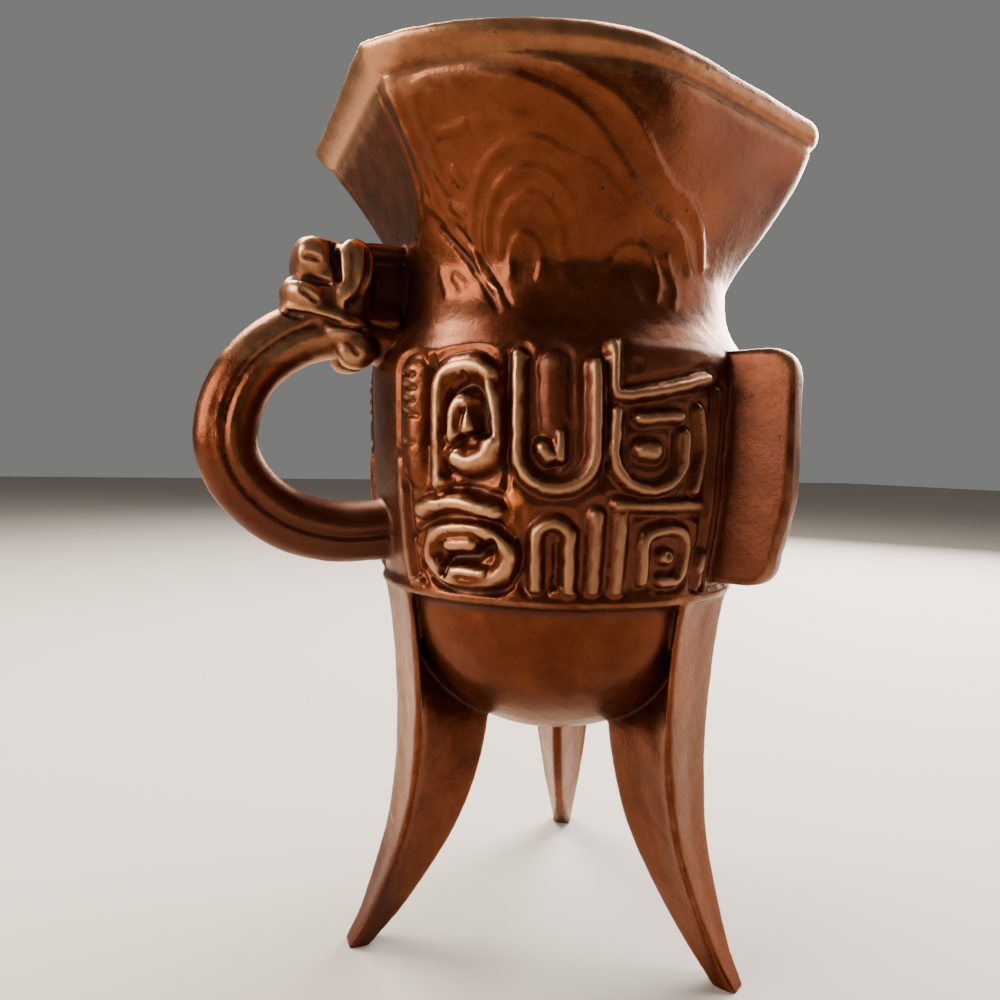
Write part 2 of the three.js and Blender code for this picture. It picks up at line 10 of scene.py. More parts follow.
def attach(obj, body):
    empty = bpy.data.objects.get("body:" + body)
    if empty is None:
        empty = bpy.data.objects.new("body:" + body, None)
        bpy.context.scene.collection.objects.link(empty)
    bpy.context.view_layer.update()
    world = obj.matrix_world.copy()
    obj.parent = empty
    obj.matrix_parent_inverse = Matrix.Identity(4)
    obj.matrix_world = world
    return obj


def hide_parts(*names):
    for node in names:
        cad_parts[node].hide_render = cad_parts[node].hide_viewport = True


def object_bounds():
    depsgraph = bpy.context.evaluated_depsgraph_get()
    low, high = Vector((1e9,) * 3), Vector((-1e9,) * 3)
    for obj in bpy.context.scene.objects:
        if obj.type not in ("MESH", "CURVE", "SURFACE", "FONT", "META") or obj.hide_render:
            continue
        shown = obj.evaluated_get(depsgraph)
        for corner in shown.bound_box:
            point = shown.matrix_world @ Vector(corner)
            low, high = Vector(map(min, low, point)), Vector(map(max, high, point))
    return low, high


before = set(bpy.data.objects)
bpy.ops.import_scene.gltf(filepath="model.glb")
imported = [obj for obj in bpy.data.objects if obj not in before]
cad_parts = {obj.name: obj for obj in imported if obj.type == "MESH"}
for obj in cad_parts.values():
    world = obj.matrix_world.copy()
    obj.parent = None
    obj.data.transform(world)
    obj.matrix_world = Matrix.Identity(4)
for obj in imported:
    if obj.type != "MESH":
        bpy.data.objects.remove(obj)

# A small bronze wine cup on three legs, cast as one hollow piece. Shapes are made in millimetres, with the
# cup's own axis at X = 0, and the finished mesh is moved to its place in the frame in metres.
MM = 0.001
cad_low, cad_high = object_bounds()

# Heights above the table.
BOWL_BOTTOM_Z = 42.5
BAND_BOTTOM_Z = 74.0
BAND_TOP_Z = 117.0
SHOULDER_TOP_Z = 126.0
NECK_Z = 134.0
RIM_Z = 167.0

# The round body.
BOWL_RADIUS = 34.0
BAND_BOTTOM_RADIUS = 36.4
NECK_RADIUS = 34.0
WALL = 3.0
BASE_THICKNESS = 4.0

# The mouth, in plan.
MOUTH_BACK = 50.0
MOUTH_FRONT = 44.0
MOUTH_HALF_WIDTH = 47.5
MOUTH_WIDEST_X = -8.0
BACK_CURVE_REACH = 50.0
FRONT_END_HALF_WIDTH = 29.5
FRONT_CORNER = 5.5
LIP_HEIGHT = 4.8
LIP_PROUD = 0.9

# Legs, handle, head and flanges.
LEG_ANGLES = (180, 60, -60)
LEG_TOP_Z = BAND_BOTTOM_Z + 3
FOOT_OUTER_RADIUS = 45.0
FOOT_SIZE = 4.8
LEG_WAIST_RADIUS = 33.1
LEG_TOP_WIDTH = 19.6
LEG_RIDGE_RADIUS = 14.8
LEG_SUNK = 2.5
LEG_IN_BOWL = 1.2
LEG_THINNEST = 2.5
HANDLE_REACH = 74.2
HANDLE_DEPTH = 11.8
HANDLE_TOP_Z = 124.0
HANDLE_BOTTOM_Z = 85.0
FLANGE_ANGLES = (60, -60)
FLANGE_REACH = 51.9
FLANGE_THICKNESS = 5.0
FLANGE_BOTTOM_Z = 77.0
FLANGE_TOP_Z = 120.4
FLANGE_CORNER = 6.0
FLANGE_TAPER = 2.6

AXIS_X = cad_high.x / MM - MOUTH_FRONT

# How fine the cast skin is, and how much it is softened.
VOXEL = 0.36
SOFTENING = 0.5
SOFTENING_ROUNDS = 16
MOST_TRIANGLES = 195000

# How finely the round forms are divided before they are joined.
TURNED_STEPS = 240
BOWL_STEPS = 26
FLARE_STEPS = 22
INNER_FLARE_STEPS = 18
INNER_WALL_STEPS = 24
INNER_BOWL_STEPS = 22
LEG_STEPS = 44


def lerp(a, b, t):
    return a + (b - a) * t


def smoothstep(x, low, high):
    t = np.clip((x - low) / (high - low), 0.0, 1.0)
    return t * t * (3.0 - 2.0 * t)


def curve_through(points, steps):
    """Points along a smooth curve that passes through each of a few points."""
    first = 2 * np.array(points[0]) - points[1]
    last = 2 * np.array(points[-1]) - points[-2]
    ends = [first, *map(np.array, points), last]
    run = []
    for i in range(1, len(ends) - 2):
        before, low, high, after = ends[i - 1 : i + 3]
        for t in np.arange(steps) / steps:
            point = 2 * low + (high - before) * t
            point = point + (2 * before - 5 * low + 4 * high - after) * t**2
            point = point + (3 * low - before - 3 * high + after) * t**3
            run.append(0.5 * point)
    return [*run, np.array(points[-1], float)]


# The wall from the bowl up to the neck, by radius and height, with the ring under the band.
WALL_PROFILE = [
    (BOWL_RADIUS, 72.4),
    (35.2, 73.1),
    (36.9, 73.8),
    (37.3, 74.9),
    (36.7, 75.9),
    (36.5, 76.9),
    (37.3, 81.0),
    (38.7, 91.2),
    (39.4, 104.0),
    (39.8, 114.5),
    (39.5, 118.4),
    (37.9, 121.4),
    (35.8, 124.6),
    (34.4, 128.6),
    (NECK_RADIUS, NECK_Z),
]
WALL_CURVE = np.array(curve_through(WALL_PROFILE, 4))

# The lip's section, by distance out from the flare and height above the lip's foot, over the rim and in.
LIP_PROFILE = [
    (-0.9, 0.3),
    (-0.35, 0.8),
    (0.0, 1.5),
    (0.05, 2.4),
    (-0.1, 3.2),
    (-0.5, 4.0),
    (-1.05, 4.55),
    (-1.7, 4.85),
    (-2.35, 4.7),
    (-2.8, 4.2),
    (-WALL, 3.4),
]


def wall_radius(z):
    return np.interp(z, WALL_CURVE[:, 1], WALL_CURVE[:, 0])


def quadratic(start, control, end):
    start, control, end = map(np.array, (start, control, end))
    return [start * (1 - t) ** 2 + 2 * control * t * (1 - t) + end * t**2 for t in np.arange(13) / 12]


def mouth_outline():
    """One half of the mouth's outline, as angles and radii about the axis."""
    front = (MOUTH_FRONT, FRONT_END_HALF_WIDTH - FRONT_CORNER)
    corner_end = (MOUTH_FRONT - FRONT_CORNER, FRONT_END_HALF_WIDTH + 0.35 * FRONT_CORNER)
    side = (lerp(MOUTH_WIDEST_X, MOUTH_FRONT, 0.3), 0.91 * MOUTH_HALF_WIDTH)
    widest = (MOUTH_WIDEST_X, MOUTH_HALF_WIDTH)
    points = [np.array((MOUTH_FRONT, y)) for y in np.linspace(0, front[1], 24)]
    points += quadratic(front, (MOUTH_FRONT, FRONT_END_HALF_WIDTH), corner_end)[1:]
    points += [lerp(np.array(corner_end), np.array(side), t) for t in np.arange(1, 21) / 20]
    points += quadratic(side, (lerp(MOUTH_WIDEST_X, MOUTH_FRONT, 0.08), MOUTH_HALF_WIDTH), widest)[1:]
    for turn in np.linspace(math.pi / 2, math.pi, 40)[1:]:
        x = MOUTH_WIDEST_X + BACK_CURVE_REACH * math.cos(turn)
        points.append(np.array((x, MOUTH_HALF_WIDTH * math.sin(turn))))
    points = np.array(points)
    return np.arctan2(points[:, 1], points[:, 0]), np.hypot(points[:, 0], points[:, 1])


OUTLINE_TURN, OUTLINE_RADIUS = mouth_outline()


def flare(angle, z):
    """How far out the wall stands from the axis above the neck, by angle and height, before the lip."""
    turn = np.abs(np.arctan2(np.sin(angle), np.cos(angle)))
    share = np.clip((z - NECK_Z) / (RIM_Z - NECK_Z), 0.0, 1.0)
    towards_back = smoothstep(turn, math.radians(100), math.radians(150))
    rise = lerp(np.sin(share * math.pi / 2) ** 1.3, share**1.4, towards_back)
    round_part = NECK_RADIUS + (np.interp(turn, OUTLINE_TURN, OUTLINE_RADIUS) - NECK_RADIUS) * rise
    flat_part = lerp(NECK_RADIUS, MOUTH_BACK, share**1.9) / np.maximum(-np.cos(angle), 1e-3)
    return np.minimum(round_part, flat_part)


def body_radius(angle, z):
    """The radius of the plain outside of the cup, by angle and height."""
    under_lip = LIP_PROUD * smoothstep(z, NECK_Z, RIM_Z - LIP_HEIGHT)
    under_lip = under_lip * (1 - smoothstep(z, RIM_Z - LIP_HEIGHT, RIM_Z - 0.55 * LIP_HEIGHT))
    return np.where(z <= NECK_Z, wall_radius(z), flare(angle, z) - under_lip)


def bowl_profile(radius, bottom, steps):
    depth = WALL_PROFILE[0][1] - bottom
    turns = np.arange(steps) / steps * math.pi / 2
    return [(radius * math.sin(t), WALL_PROFILE[0][1] - depth * math.cos(t)) for t in turns]


def vessel():
    """The hollow body, turned from its profile and opened out above the neck to the mouth's outline."""
    lip_low = RIM_Z - LIP_HEIGHT
    outside = bowl_profile(BOWL_RADIUS, BOWL_BOTTOM_Z, BOWL_STEPS)
    outside += [tuple(p) for p in WALL_CURVE]
    outside += [
        (NECK_RADIUS - LIP_PROUD * float(smoothstep(z, NECK_Z, lip_low)), z)
        for z in np.linspace(NECK_Z, lip_low, FLARE_STEPS)[1:]
    ]
    outside += [(NECK_RADIUS + out, lip_low + up) for out, up in LIP_PROFILE]
    inside = [(NECK_RADIUS - WALL, z) for z in np.linspace(RIM_Z - 2, NECK_Z, INNER_FLARE_STEPS)]
    inside += [(wall_radius(z) - WALL, z) for z in np.linspace(NECK_Z - 2, BAND_BOTTOM_Z, INNER_WALL_STEPS)]
    inside += bowl_profile(BOWL_RADIUS - WALL, BOWL_BOTTOM_Z + BASE_THICKNESS, INNER_BOWL_STEPS)[::-1]
    bm = bmesh.new()
    points = [bm.verts.new((radius, 0, z)) for radius, z in outside + inside]
    edges = [bm.edges.new(pair) for pair in zip(points, points[1:])]
    bmesh.ops.spin(
        bm,
        geom=points + edges,
        cent=(0, 0, 0),
        axis=(0, 0, 1),
        angle=math.tau,
        steps=TURNED_STEPS,
        use_merge=True,
    )
    bmesh.ops.remove_doubles(bm, verts=bm.verts[:], dist=1e-3)
    for vert in bm.verts:
        radius = math.hypot(vert.co.x, vert.co.y)
        if radius > 0.01 and vert.co.z > NECK_Z:
            angle = math.atan2(vert.co.y, vert.co.x)
            grown = (float(flare(angle, vert.co.z)) + radius - NECK_RADIUS) / radius
            vert.co.x *= grown
            vert.co.y *= grown
    return bm


def lofted(rings):
    """A closed skin through a run of rings, each the same number of points."""
    bm = bmesh.new()
    verts = [bm.verts.new(point) for point in rings[0]]
    edges = [bm.edges.new(pair) for pair in zip(verts, verts[1:] + verts[:1])]
    bmesh.ops.edgeloop_fill(bm, edges=edges)
    for ring in rings[1:]:
        made = bmesh.ops.extrude_edge_only(bm, edges=edges)["geom"]
        fresh = {tuple(v.co): v for v in made if isinstance(v, bmesh.types.BMVert)}
        verts = [fresh[tuple(v.co)] for v in verts]
        for vert, point in zip(verts, ring):
            vert.co = point
        edges = [bm.edges.get(pair) for pair in zip(verts, verts[1:] + verts[:1])]
    bmesh.ops.edgeloop_fill(bm, edges=edges)
    bmesh.ops.recalc_face_normals(bm, faces=bm.faces[:])
    return bm


def leg(angle):
    """A blade leg: a flat outer face that narrows to the foot, and hollow sides that meet in a ridge."""
    foot_inner = FOOT_OUTER_RADIUS - FOOT_SIZE
    waist = LEG_WAIST_RADIUS
    outer = np.array(
        curve_through(
            [
                (FOOT_OUTER_RADIUS, 0),
                (lerp(waist, FOOT_OUTER_RADIUS, 0.62), 0.11 * LEG_TOP_Z),
                (lerp(waist, FOOT_OUTER_RADIUS, 0.14), 0.34 * LEG_TOP_Z),
                (waist, 0.6 * LEG_TOP_Z),
                (lerp(waist, BAND_BOTTOM_RADIUS, 0.4), 0.86 * LEG_TOP_Z),
                (BAND_BOTTOM_RADIUS, LEG_TOP_Z),
            ],
            12,
        )
    )
    inner = np.array(
        curve_through(
            [
                (foot_inner, 0),
                (lerp(LEG_RIDGE_RADIUS, foot_inner, 0.62), 0.12 * LEG_TOP_Z),
                (lerp(LEG_RIDGE_RADIUS, foot_inner, 0.22), 0.32 * LEG_TOP_Z),
                (lerp(LEG_RIDGE_RADIUS, foot_inner, 0.03), 0.52 * LEG_TOP_Z),
                (LEG_RIDGE_RADIUS, 0.66 * LEG_TOP_Z),
            ],
            12,
        )
    )
    rings = []
    for z in np.linspace(0, LEG_TOP_Z - LEG_SUNK, LEG_STEPS):
        share = z / LEG_TOP_Z
        out = float(np.interp(z, outer[:, 1], outer[:, 0]))
        ridge = float(np.interp(z, inner[:, 1], inner[:, 0]))
        if z > BOWL_BOTTOM_Z:
            rise = min((WALL_PROFILE[0][1] - z) / (WALL_PROFILE[0][1] - BOWL_BOTTOM_Z), 1.0)
            bowl = BOWL_RADIUS * math.sqrt(max(1 - max(rise, 0) ** 2, 0.0))
            ridge = max(ridge, min(bowl - LEG_IN_BOWL, out - LEG_THINNEST))
        half = lerp(FOOT_SIZE, LEG_TOP_WIDTH, 1 - (1 - share) ** 2) / 2
        ridge_half = lerp(FOOT_SIZE / 2, 1.1, min(z / 8, 1))
        deep = out - ridge
        hollow = 0.1 * min(z / 20, 1)
        corner = min(1.0, 0.3 * half)
        sunk_edge = max(0.14 * deep, 1.7 * corner)
        side = [
            (out, half - 1.3 * corner),
            (out - 0.1 * corner, half - 0.7 * corner),
            (out - 0.45 * corner, half - 0.3 * corner),
            (out - corner, half - 0.3 * corner),
            (out - sunk_edge, lerp(half, ridge_half, 0.15 + hollow * 0.5)),
            (out - 0.5 * deep, lerp(half, ridge_half, 0.5 + hollow)),
            (ridge + 0.4, ridge_half),
            (ridge, 0.6 * ridge_half),
        ]
        ring = [(out - 0.25 * min(z / 10, 1), 0), *side, *[(x, -y) for x, y in side[::-1]]]
        rings.append([(x, y, z) for x, y in ring])
    bm = lofted(rings)
    bmesh.ops.rotate(bm, verts=bm.verts[:], matrix=Matrix.Rotation(math.radians(angle), 3, "Z"))
    return bm


# The handle's section, by distance out from its middle and half width, round one side: a thick rounded
# bead outside, a groove, a thin ridge and a flatter inner part.
HANDLE_SECTION = [
    (5.9, 0.0),
    (5.7, 1.5),
    (5.15, 2.9),
    (4.3, 4.1),
    (3.2, 5.0),
    (1.9, 5.6),
    (0.8, 5.6),
    (0.1, 5.0),
    (-0.35, 4.2),
    (-0.8, 4.4),
    (-1.3, 5.0),
    (-1.9, 4.9),
    (-2.4, 4.2),
    (-3.4, 3.9),
    (-4.7, 2.9),
    (-5.6, 1.5),
    (-5.9, 0.0),
]


def handle():
    """The loop handle, its section carried round from the shoulder to the foot of the band."""
    middle = (HANDLE_TOP_Z + HANDLE_BOTTOM_Z) / 2
    rise = (HANDLE_TOP_Z - HANDLE_BOTTOM_Z) / 2
    root = float(wall_radius(HANDLE_BOTTOM_Z)) - WALL / 2
    bow = HANDLE_REACH - HANDLE_DEPTH / 2 - root
    lifts = [(0, 0.98), (0.36, 1.02), (0.66, 0.86), (0.9, 0.48), (1, -0.05)]
    lifts += [(0.92, -0.5), (0.68, -0.86), (0.36, -1.02), (0, -1)]
    path = curve_through([(-(root + share * bow), middle + lift * rise) for share, lift in lifts], 9)
    rings = []
    for i, (x, z) in enumerate(path):
        ahead = path[min(i + 1, len(path) - 1)] - path[max(i - 1, 0)]
        ahead = ahead / np.hypot(*ahead)
        out = np.array((ahead[1], -ahead[0]))
        along = i / (len(path) - 1)
        waver = 0.12 * math.sin(19 * along) + 0.1 * math.sin(41 * along + 1)
        thick = 1 + 0.06 * (abs(2 * along - 1) ** 3)
        wide = thick + 0.02 * waver
        section = HANDLE_SECTION + [(d, -w) for d, w in HANDLE_SECTION[-2:0:-1]]
        ring = [(x + out[0] * -(d * thick), w * wide, z + out[1] * -(d * thick)) for d, w in section]
        rings.append(ring)
    return lofted(rings)


# How far a flange's outline is drawn in at its edges, by distance in from the face.
FLANGE_EDGE = [(0, 1.1), (0.35, 0.4), (1, 0)]


def flange(angle):
    """An upright plate with round outer corners and soft edges."""
    root = NECK_RADIUS - 1
    low_reach = FLANGE_REACH - FLANGE_TAPER
    waist_z = lerp(FLANGE_BOTTOM_Z, FLANGE_TOP_Z, 0.4)
    outline = [(root, FLANGE_BOTTOM_Z)]
    outline += [
        tuple(p)
        for p in quadratic(
            (low_reach - FLANGE_CORNER, FLANGE_BOTTOM_Z),
            (low_reach, FLANGE_BOTTOM_Z),
            (low_reach, FLANGE_BOTTOM_Z + FLANGE_CORNER),
        )
    ]
    outline += [(lerp(low_reach, FLANGE_REACH, 0.6), lerp(FLANGE_BOTTOM_Z, waist_z, 0.65))]
    outline += [(FLANGE_REACH, waist_z)]
    outline += [
        tuple(p)
        for p in quadratic(
            (FLANGE_REACH, FLANGE_TOP_Z - FLANGE_CORNER),
            (FLANGE_REACH, FLANGE_TOP_Z),
            (FLANGE_REACH - FLANGE_CORNER, FLANGE_TOP_Z),
        )
    ]
    outline += [(root, FLANGE_TOP_Z)]
    middle = np.array(((root + FLANGE_REACH) / 2, (FLANGE_BOTTOM_Z + FLANGE_TOP_Z) / 2))
    half = FLANGE_THICKNESS / 2
    layers = [(-half + deep, inset) for deep, inset in FLANGE_EDGE]
    layers += [(half - deep, inset) for deep, inset in FLANGE_EDGE[::-1]]
    rings = []
    for across, inset in layers:
        ring = []
        for x, z in outline:
            towards = middle - (x, z)
            towards = towards / max(abs(towards[0]), abs(towards[1]))
            step = towards * inset if x > root else np.zeros(2)
            ring.append((x + step[0], across, z + step[1]))
        rings.append(ring)
    bm = lofted(rings)
    bmesh.ops.rotate(bm, verts=bm.verts[:], matrix=Matrix.Rotation(math.radians(angle), 3, "Z"))
    return bm


def lump(out, across, z, size, tilt, square):
    """A rounded block of the head, at a distance out behind the axis."""
    bm = bmesh.new()
    bmesh.ops.create_uvsphere(bm, u_segments=32, v_segments=20, radius=1.0)
    for vert in bm.verts:
        vert.co = [math.copysign(abs(c) ** square, c) for c in vert.co]
    bmesh.ops.scale(bm, vec=size, verts=bm.verts[:])
    bmesh.ops.rotate(bm, verts=bm.verts[:], matrix=Matrix.Rotation(math.radians(tilt), 3, "Y"))
    bmesh.ops.translate(bm, verts=bm.verts[:], vec=(-out, across, z))
    return bm


def beast_head():
    """The beast's head on the handle, looking up and out."""
    skull = lump(48.7, 0, 131.4, (7.7, 6.4, 9.3), 3, 0.7)
    snout = lump(52.5, 0, 136.3, (4.3, 6.9, 4.7), 6, 0.8)
    brow = lump(54.0, 0, 129.2, (5.1, 7.6, 3.4), 32, 0.85)
    collar = lump(50.2, 0, 125.8, (9.0, 7.1, 2.7), 13, 0.85)
    web = lump(41.0, 0, 139.2, (9.2, 4.0, 2.0), -3, 0.9)
    neck = lump(38.6, 0, 129.5, (7.2, 2.4, 9.4), 0, 0.85)
    parts = [skull, snout, brow, collar, web, neck]
    for side in (-1, 1):
        ear = lump(45.6, 5.6 * side, 135.0, (3.7, 2.3, 5.6), 6, 0.95)
        ear_tip = lump(46.9, 5.9 * side, 130.6, (2.2, 1.7, 3.8), 12, 1.0)
        nostril = lump(53.2, 5.4 * side, 137.2, (3.0, 2.2, 3.0), 8, 0.95)
        jaw_lobe = lump(44.8, 4.4 * side, 119.9, (4.1, 3.2, 3.8), -20, 0.95)
        jaw = lump(46.8, 4.2 * side, 123.2, (4.6, 3.2, 2.8), -10, 0.95)
        parts += [ear, ear_tip, nostril, jaw_lobe, jaw]
    return parts


def cast_skin(parts):
    """Every part joined into one closed skin, with the soft inner corners of a casting."""
    mesh = bpy.data.meshes.new("jue_skin")
    joined = bmesh.new()
    for part in parts:
        bmesh.ops.recalc_face_normals(part, faces=part.faces[:])
        bmesh.ops.triangulate(part, faces=part.faces[:])
        piece = bpy.data.meshes.new("part")
        part.to_mesh(piece)
        part.free()
        joined.from_mesh(piece)
        bpy.data.meshes.remove(piece)
    joined.to_mesh(mesh)
    joined.free()
    skin = bpy.data.objects.new("jue_skin", mesh)
    bpy.context.scene.collection.objects.link(skin)
    remesh = skin.modifiers.new("join", "REMESH")
    remesh.mode = "VOXEL"
    remesh.voxel_size = VOXEL
    soften = skin.modifiers.new("soften", "SMOOTH")
    soften.factor = SOFTENING
    soften.iterations = SOFTENING_ROUNDS
    return skin


def applied(item):
    """The object's mesh with its modifiers made real."""
    bpy.context.view_layer.update()
    graph = bpy.context.evaluated_depsgraph_get()
    mesh = bpy.data.meshes.new_from_object(item.evaluated_get(graph))
    old = item.data
    item.modifiers.clear()
    item.data = mesh
    bpy.data.meshes.remove(old)
    return mesh


def read_points(mesh):
    points = np.zeros(len(mesh.vertices) * 3, np.float32)
    mesh.vertices.foreach_get("co", points)
    return points.reshape(-1, 3).astype(float)


def read_normals(mesh):
    normals = np.zeros(len(mesh.vertices) * 3, np.float32)
    mesh.vertices.foreach_get("normal", normals)
    return normals.reshape(-1, 3).astype(float)


def read_edges(mesh):
    edges = np.zeros(len(mesh.edges) * 2, np.int32)
    mesh.edges.foreach_get("vertices", edges)
    return edges.reshape(-1, 2)


def arc(u, v, radius_u, radius_v, start, end, steps):
    turns = np.radians(np.linspace(start, end, steps + 1))
    return [(u + radius_u * math.cos(t), v + radius_v * math.sin(t)) for t in turns]


# The scroll band's drawing, in millimetres: u runs 32 either way from a panel's middle, v from 0 at the
# band's bottom to 43 at its top. Each ridge is a line, its width and how far it stands up.
SMALL_SCROLL = [(16.4, 4.8), (16.2, 11.8), (18.6, 13.6), (23.6, 13.4), (25.4, 10.4), (24.4, 5.0), (20.4, 4.6)]
BAND_RIDGES = [
    ([(-31.3, 25), (-31.3, 4), (-29, 2)], 2.4, 0.9),
    ([(-28.2, 24), (-27.8, 40.5)], 6.4, 0.95),
    ([(-21.4, 20.5), (-21.5, 29), (-21, 38.5), (-18.6, 41.2), (-14, 41.6), (-11.2, 39.8)], 3.6, 1.3),
    ([(-11.6, 40), (-10.3, 34), (-9.9, 28.5)], 2.8, 1.25),
    ([(-18.4, 29.5), (-18.2, 33.4), (-16.6, 35.4), (-14.9, 34.2), (-15.4, 30.6)], 3.2, 1.1),
    ([(-18.2, 26.2), (-15.2, 25), (-12.2, 25.9), (-10.9, 28.4)], 4.6, 1.6),
    ([(-6.5, 42.5), *arc(0, 27, 6.4, 6.2, 180, 360, 16), (6.3, 34), (6.0, 41.5)], 2.7, 1.45),
    ([(-0.9, 41.5), (-0.8, 36), (-0.4, 31)], 4.2, 0.75),
    ([(-2.2, 27.6), (-1.2, 26.4)], 3.4, 1.45),
    ([(0.5, 30), (0.5, 26)], 1.9, 1.35),
    ([(8.9, 46), (9.0, 38.4), (10.6, 36.8), (17.4, 37.9), (27.0, 40.2)], 2.2, 1.5),
    ([(13.8, 32.9), (21.2, 33.6)], 2.1, 1.4),
    ([(9.6, 34), (9.4, 27.4), *arc(16.2, 27, 6.7, 6.2, 186, 352, 14), (22.7, 30.4)], 2.2, 1.3),
    ([(14.6, 27.6), (16.6, 27.4)], 3.6, 1.5),
    ([(25.9, 34.6), (27.3, 28), (25.9, 20.8)], 2.0, 0.95),
    ([(30.6, 3.4), (30.8, 38)], 1.8, 0.6),
    ([(-26.0, 16.2), (-22, 17.5), (-17.4, 17.9), (-10.4, 16.4)], 3.2, 1.35),
    ([*arc(-16.3, 8.7, 8.3, 5.0, 0, 360, 12)], 3.6, 1.25),
    ([(-19.6, 10.4), (-15.4, 10.8)], 3.0, 1.2),
    ([(-19.4, 5.4), (-13, 5.4)], 2.6, 1.2),
    ([(-3.3, 3.4), (-3.3, 11.6), *arc(-0.4, 12, 2.9, 2.8, 180, 0, 8), (2.6, 2.4)], 2.4, 1.25),
    ([(7.0, 3), (7.0, 16.2)], 2.6, 0.95),
    ([(11.3, 3), (11.3, 16.2)], 2.6, 0.95),
    ([(10.6, 18.1), (27.6, 18.0)], 2.2, 0.95),
    (SMALL_SCROLL, 2.1, 1.0),
    ([(20.2, 9.0), (21.2, 8.8)], 2.5, 1.05),
    ([(29.9, 6.6), (30.2, 8.6)], 2.6, 1.2),
    ([(0.4, 2.4), (0.8, 2.8)], 1.8, 0.7),
]
# Each groove is a line, its width and how deep it is cut into what stands round it.
BAND_GROOVES = [
    ([(-22.9, 43), (-23.6, 36), (-24.5, 28.6)], 1.5, 1.2),
    ([(-19.9, 30.4), (-19.6, 34.4), (-17.8, 37.3), (-15, 38.4), (-12.9, 36.6), (-11.7, 33)], 1.3, 1.1),
    ([(-14.1, 34.6), (-13, 32), (-12, 30.4)], 2.8, 1.2),
    ([(-11.6, 29.8), (-14.6, 29.6), (-17.2, 28.6), (-19.2, 26), (-19.9, 23)], 1.4, 1.2),
    ([(-15.6, 21), (-11.4, 21.7), (-8.9, 24.6)], 2.8, 0.7),
    ([(-8.5, 20.6), (-8.3, 43)], 1.7, 0.8),
    ([(7.9, 21), (7.8, 43)], 1.3, 0.6),
    ([(-29.2, 11.2), (-26, 13.4), (-22, 14.4), (-16, 15), (-11, 14.4), (-7.6, 12)], 1.3, 1.0),
    ([(-24.4, 19.4), (-17, 20.6), (-9, 19.4)], 1.3, 0.6),
    ([(-10.9, 11), (-12.2, 9.4), (-14.6, 8.2), (-18, 7.9), (-20.6, 7.2), (-21.4, 5.2)], 2.1, 1.4),
    ([(-12.4, 9.9), (-11.4, 9.6)], 3.0, 0.7),
    ([(-28.4, 9), (-27, 5.2), (-23.4, 2.6), (-16, 1.6), (-8.8, 2.6), (-6.4, 6.4)], 1.3, 0.7),
    ([(-5.9, 3), (-5.9, 17)], 1.6, 0.6),
    ([(-30.9, 34), (-26.2, 33.2)], 0.8, 0.6),
    ([(-31, 36.2), (-26.8, 36)], 0.7, 0.6),
    ([(-30.6, 38.6), (-26.4, 38.2)], 0.8, 0.6),
    ([(-30.2, 41), (-26.6, 40.6)], 0.8, 0.6),
    ([(-31, 28), (-27, 28.4)], 0.8, 0.4),
    ([(0, 3.4), (0, 10.8)], 1.4, 0.7),
]
# Each pit is its place, its size and how deep it is.
BAND_PITS = [
    (-16.1, 34, 0.8, 0.9),
    (-16, 40.2, 0.55, 0.5),
    (-0.5, 24.4, 1.5, 0.5),
    (13, 42, 1.4, 0.5),
    (21, 9, 0.7, 0.6),
]

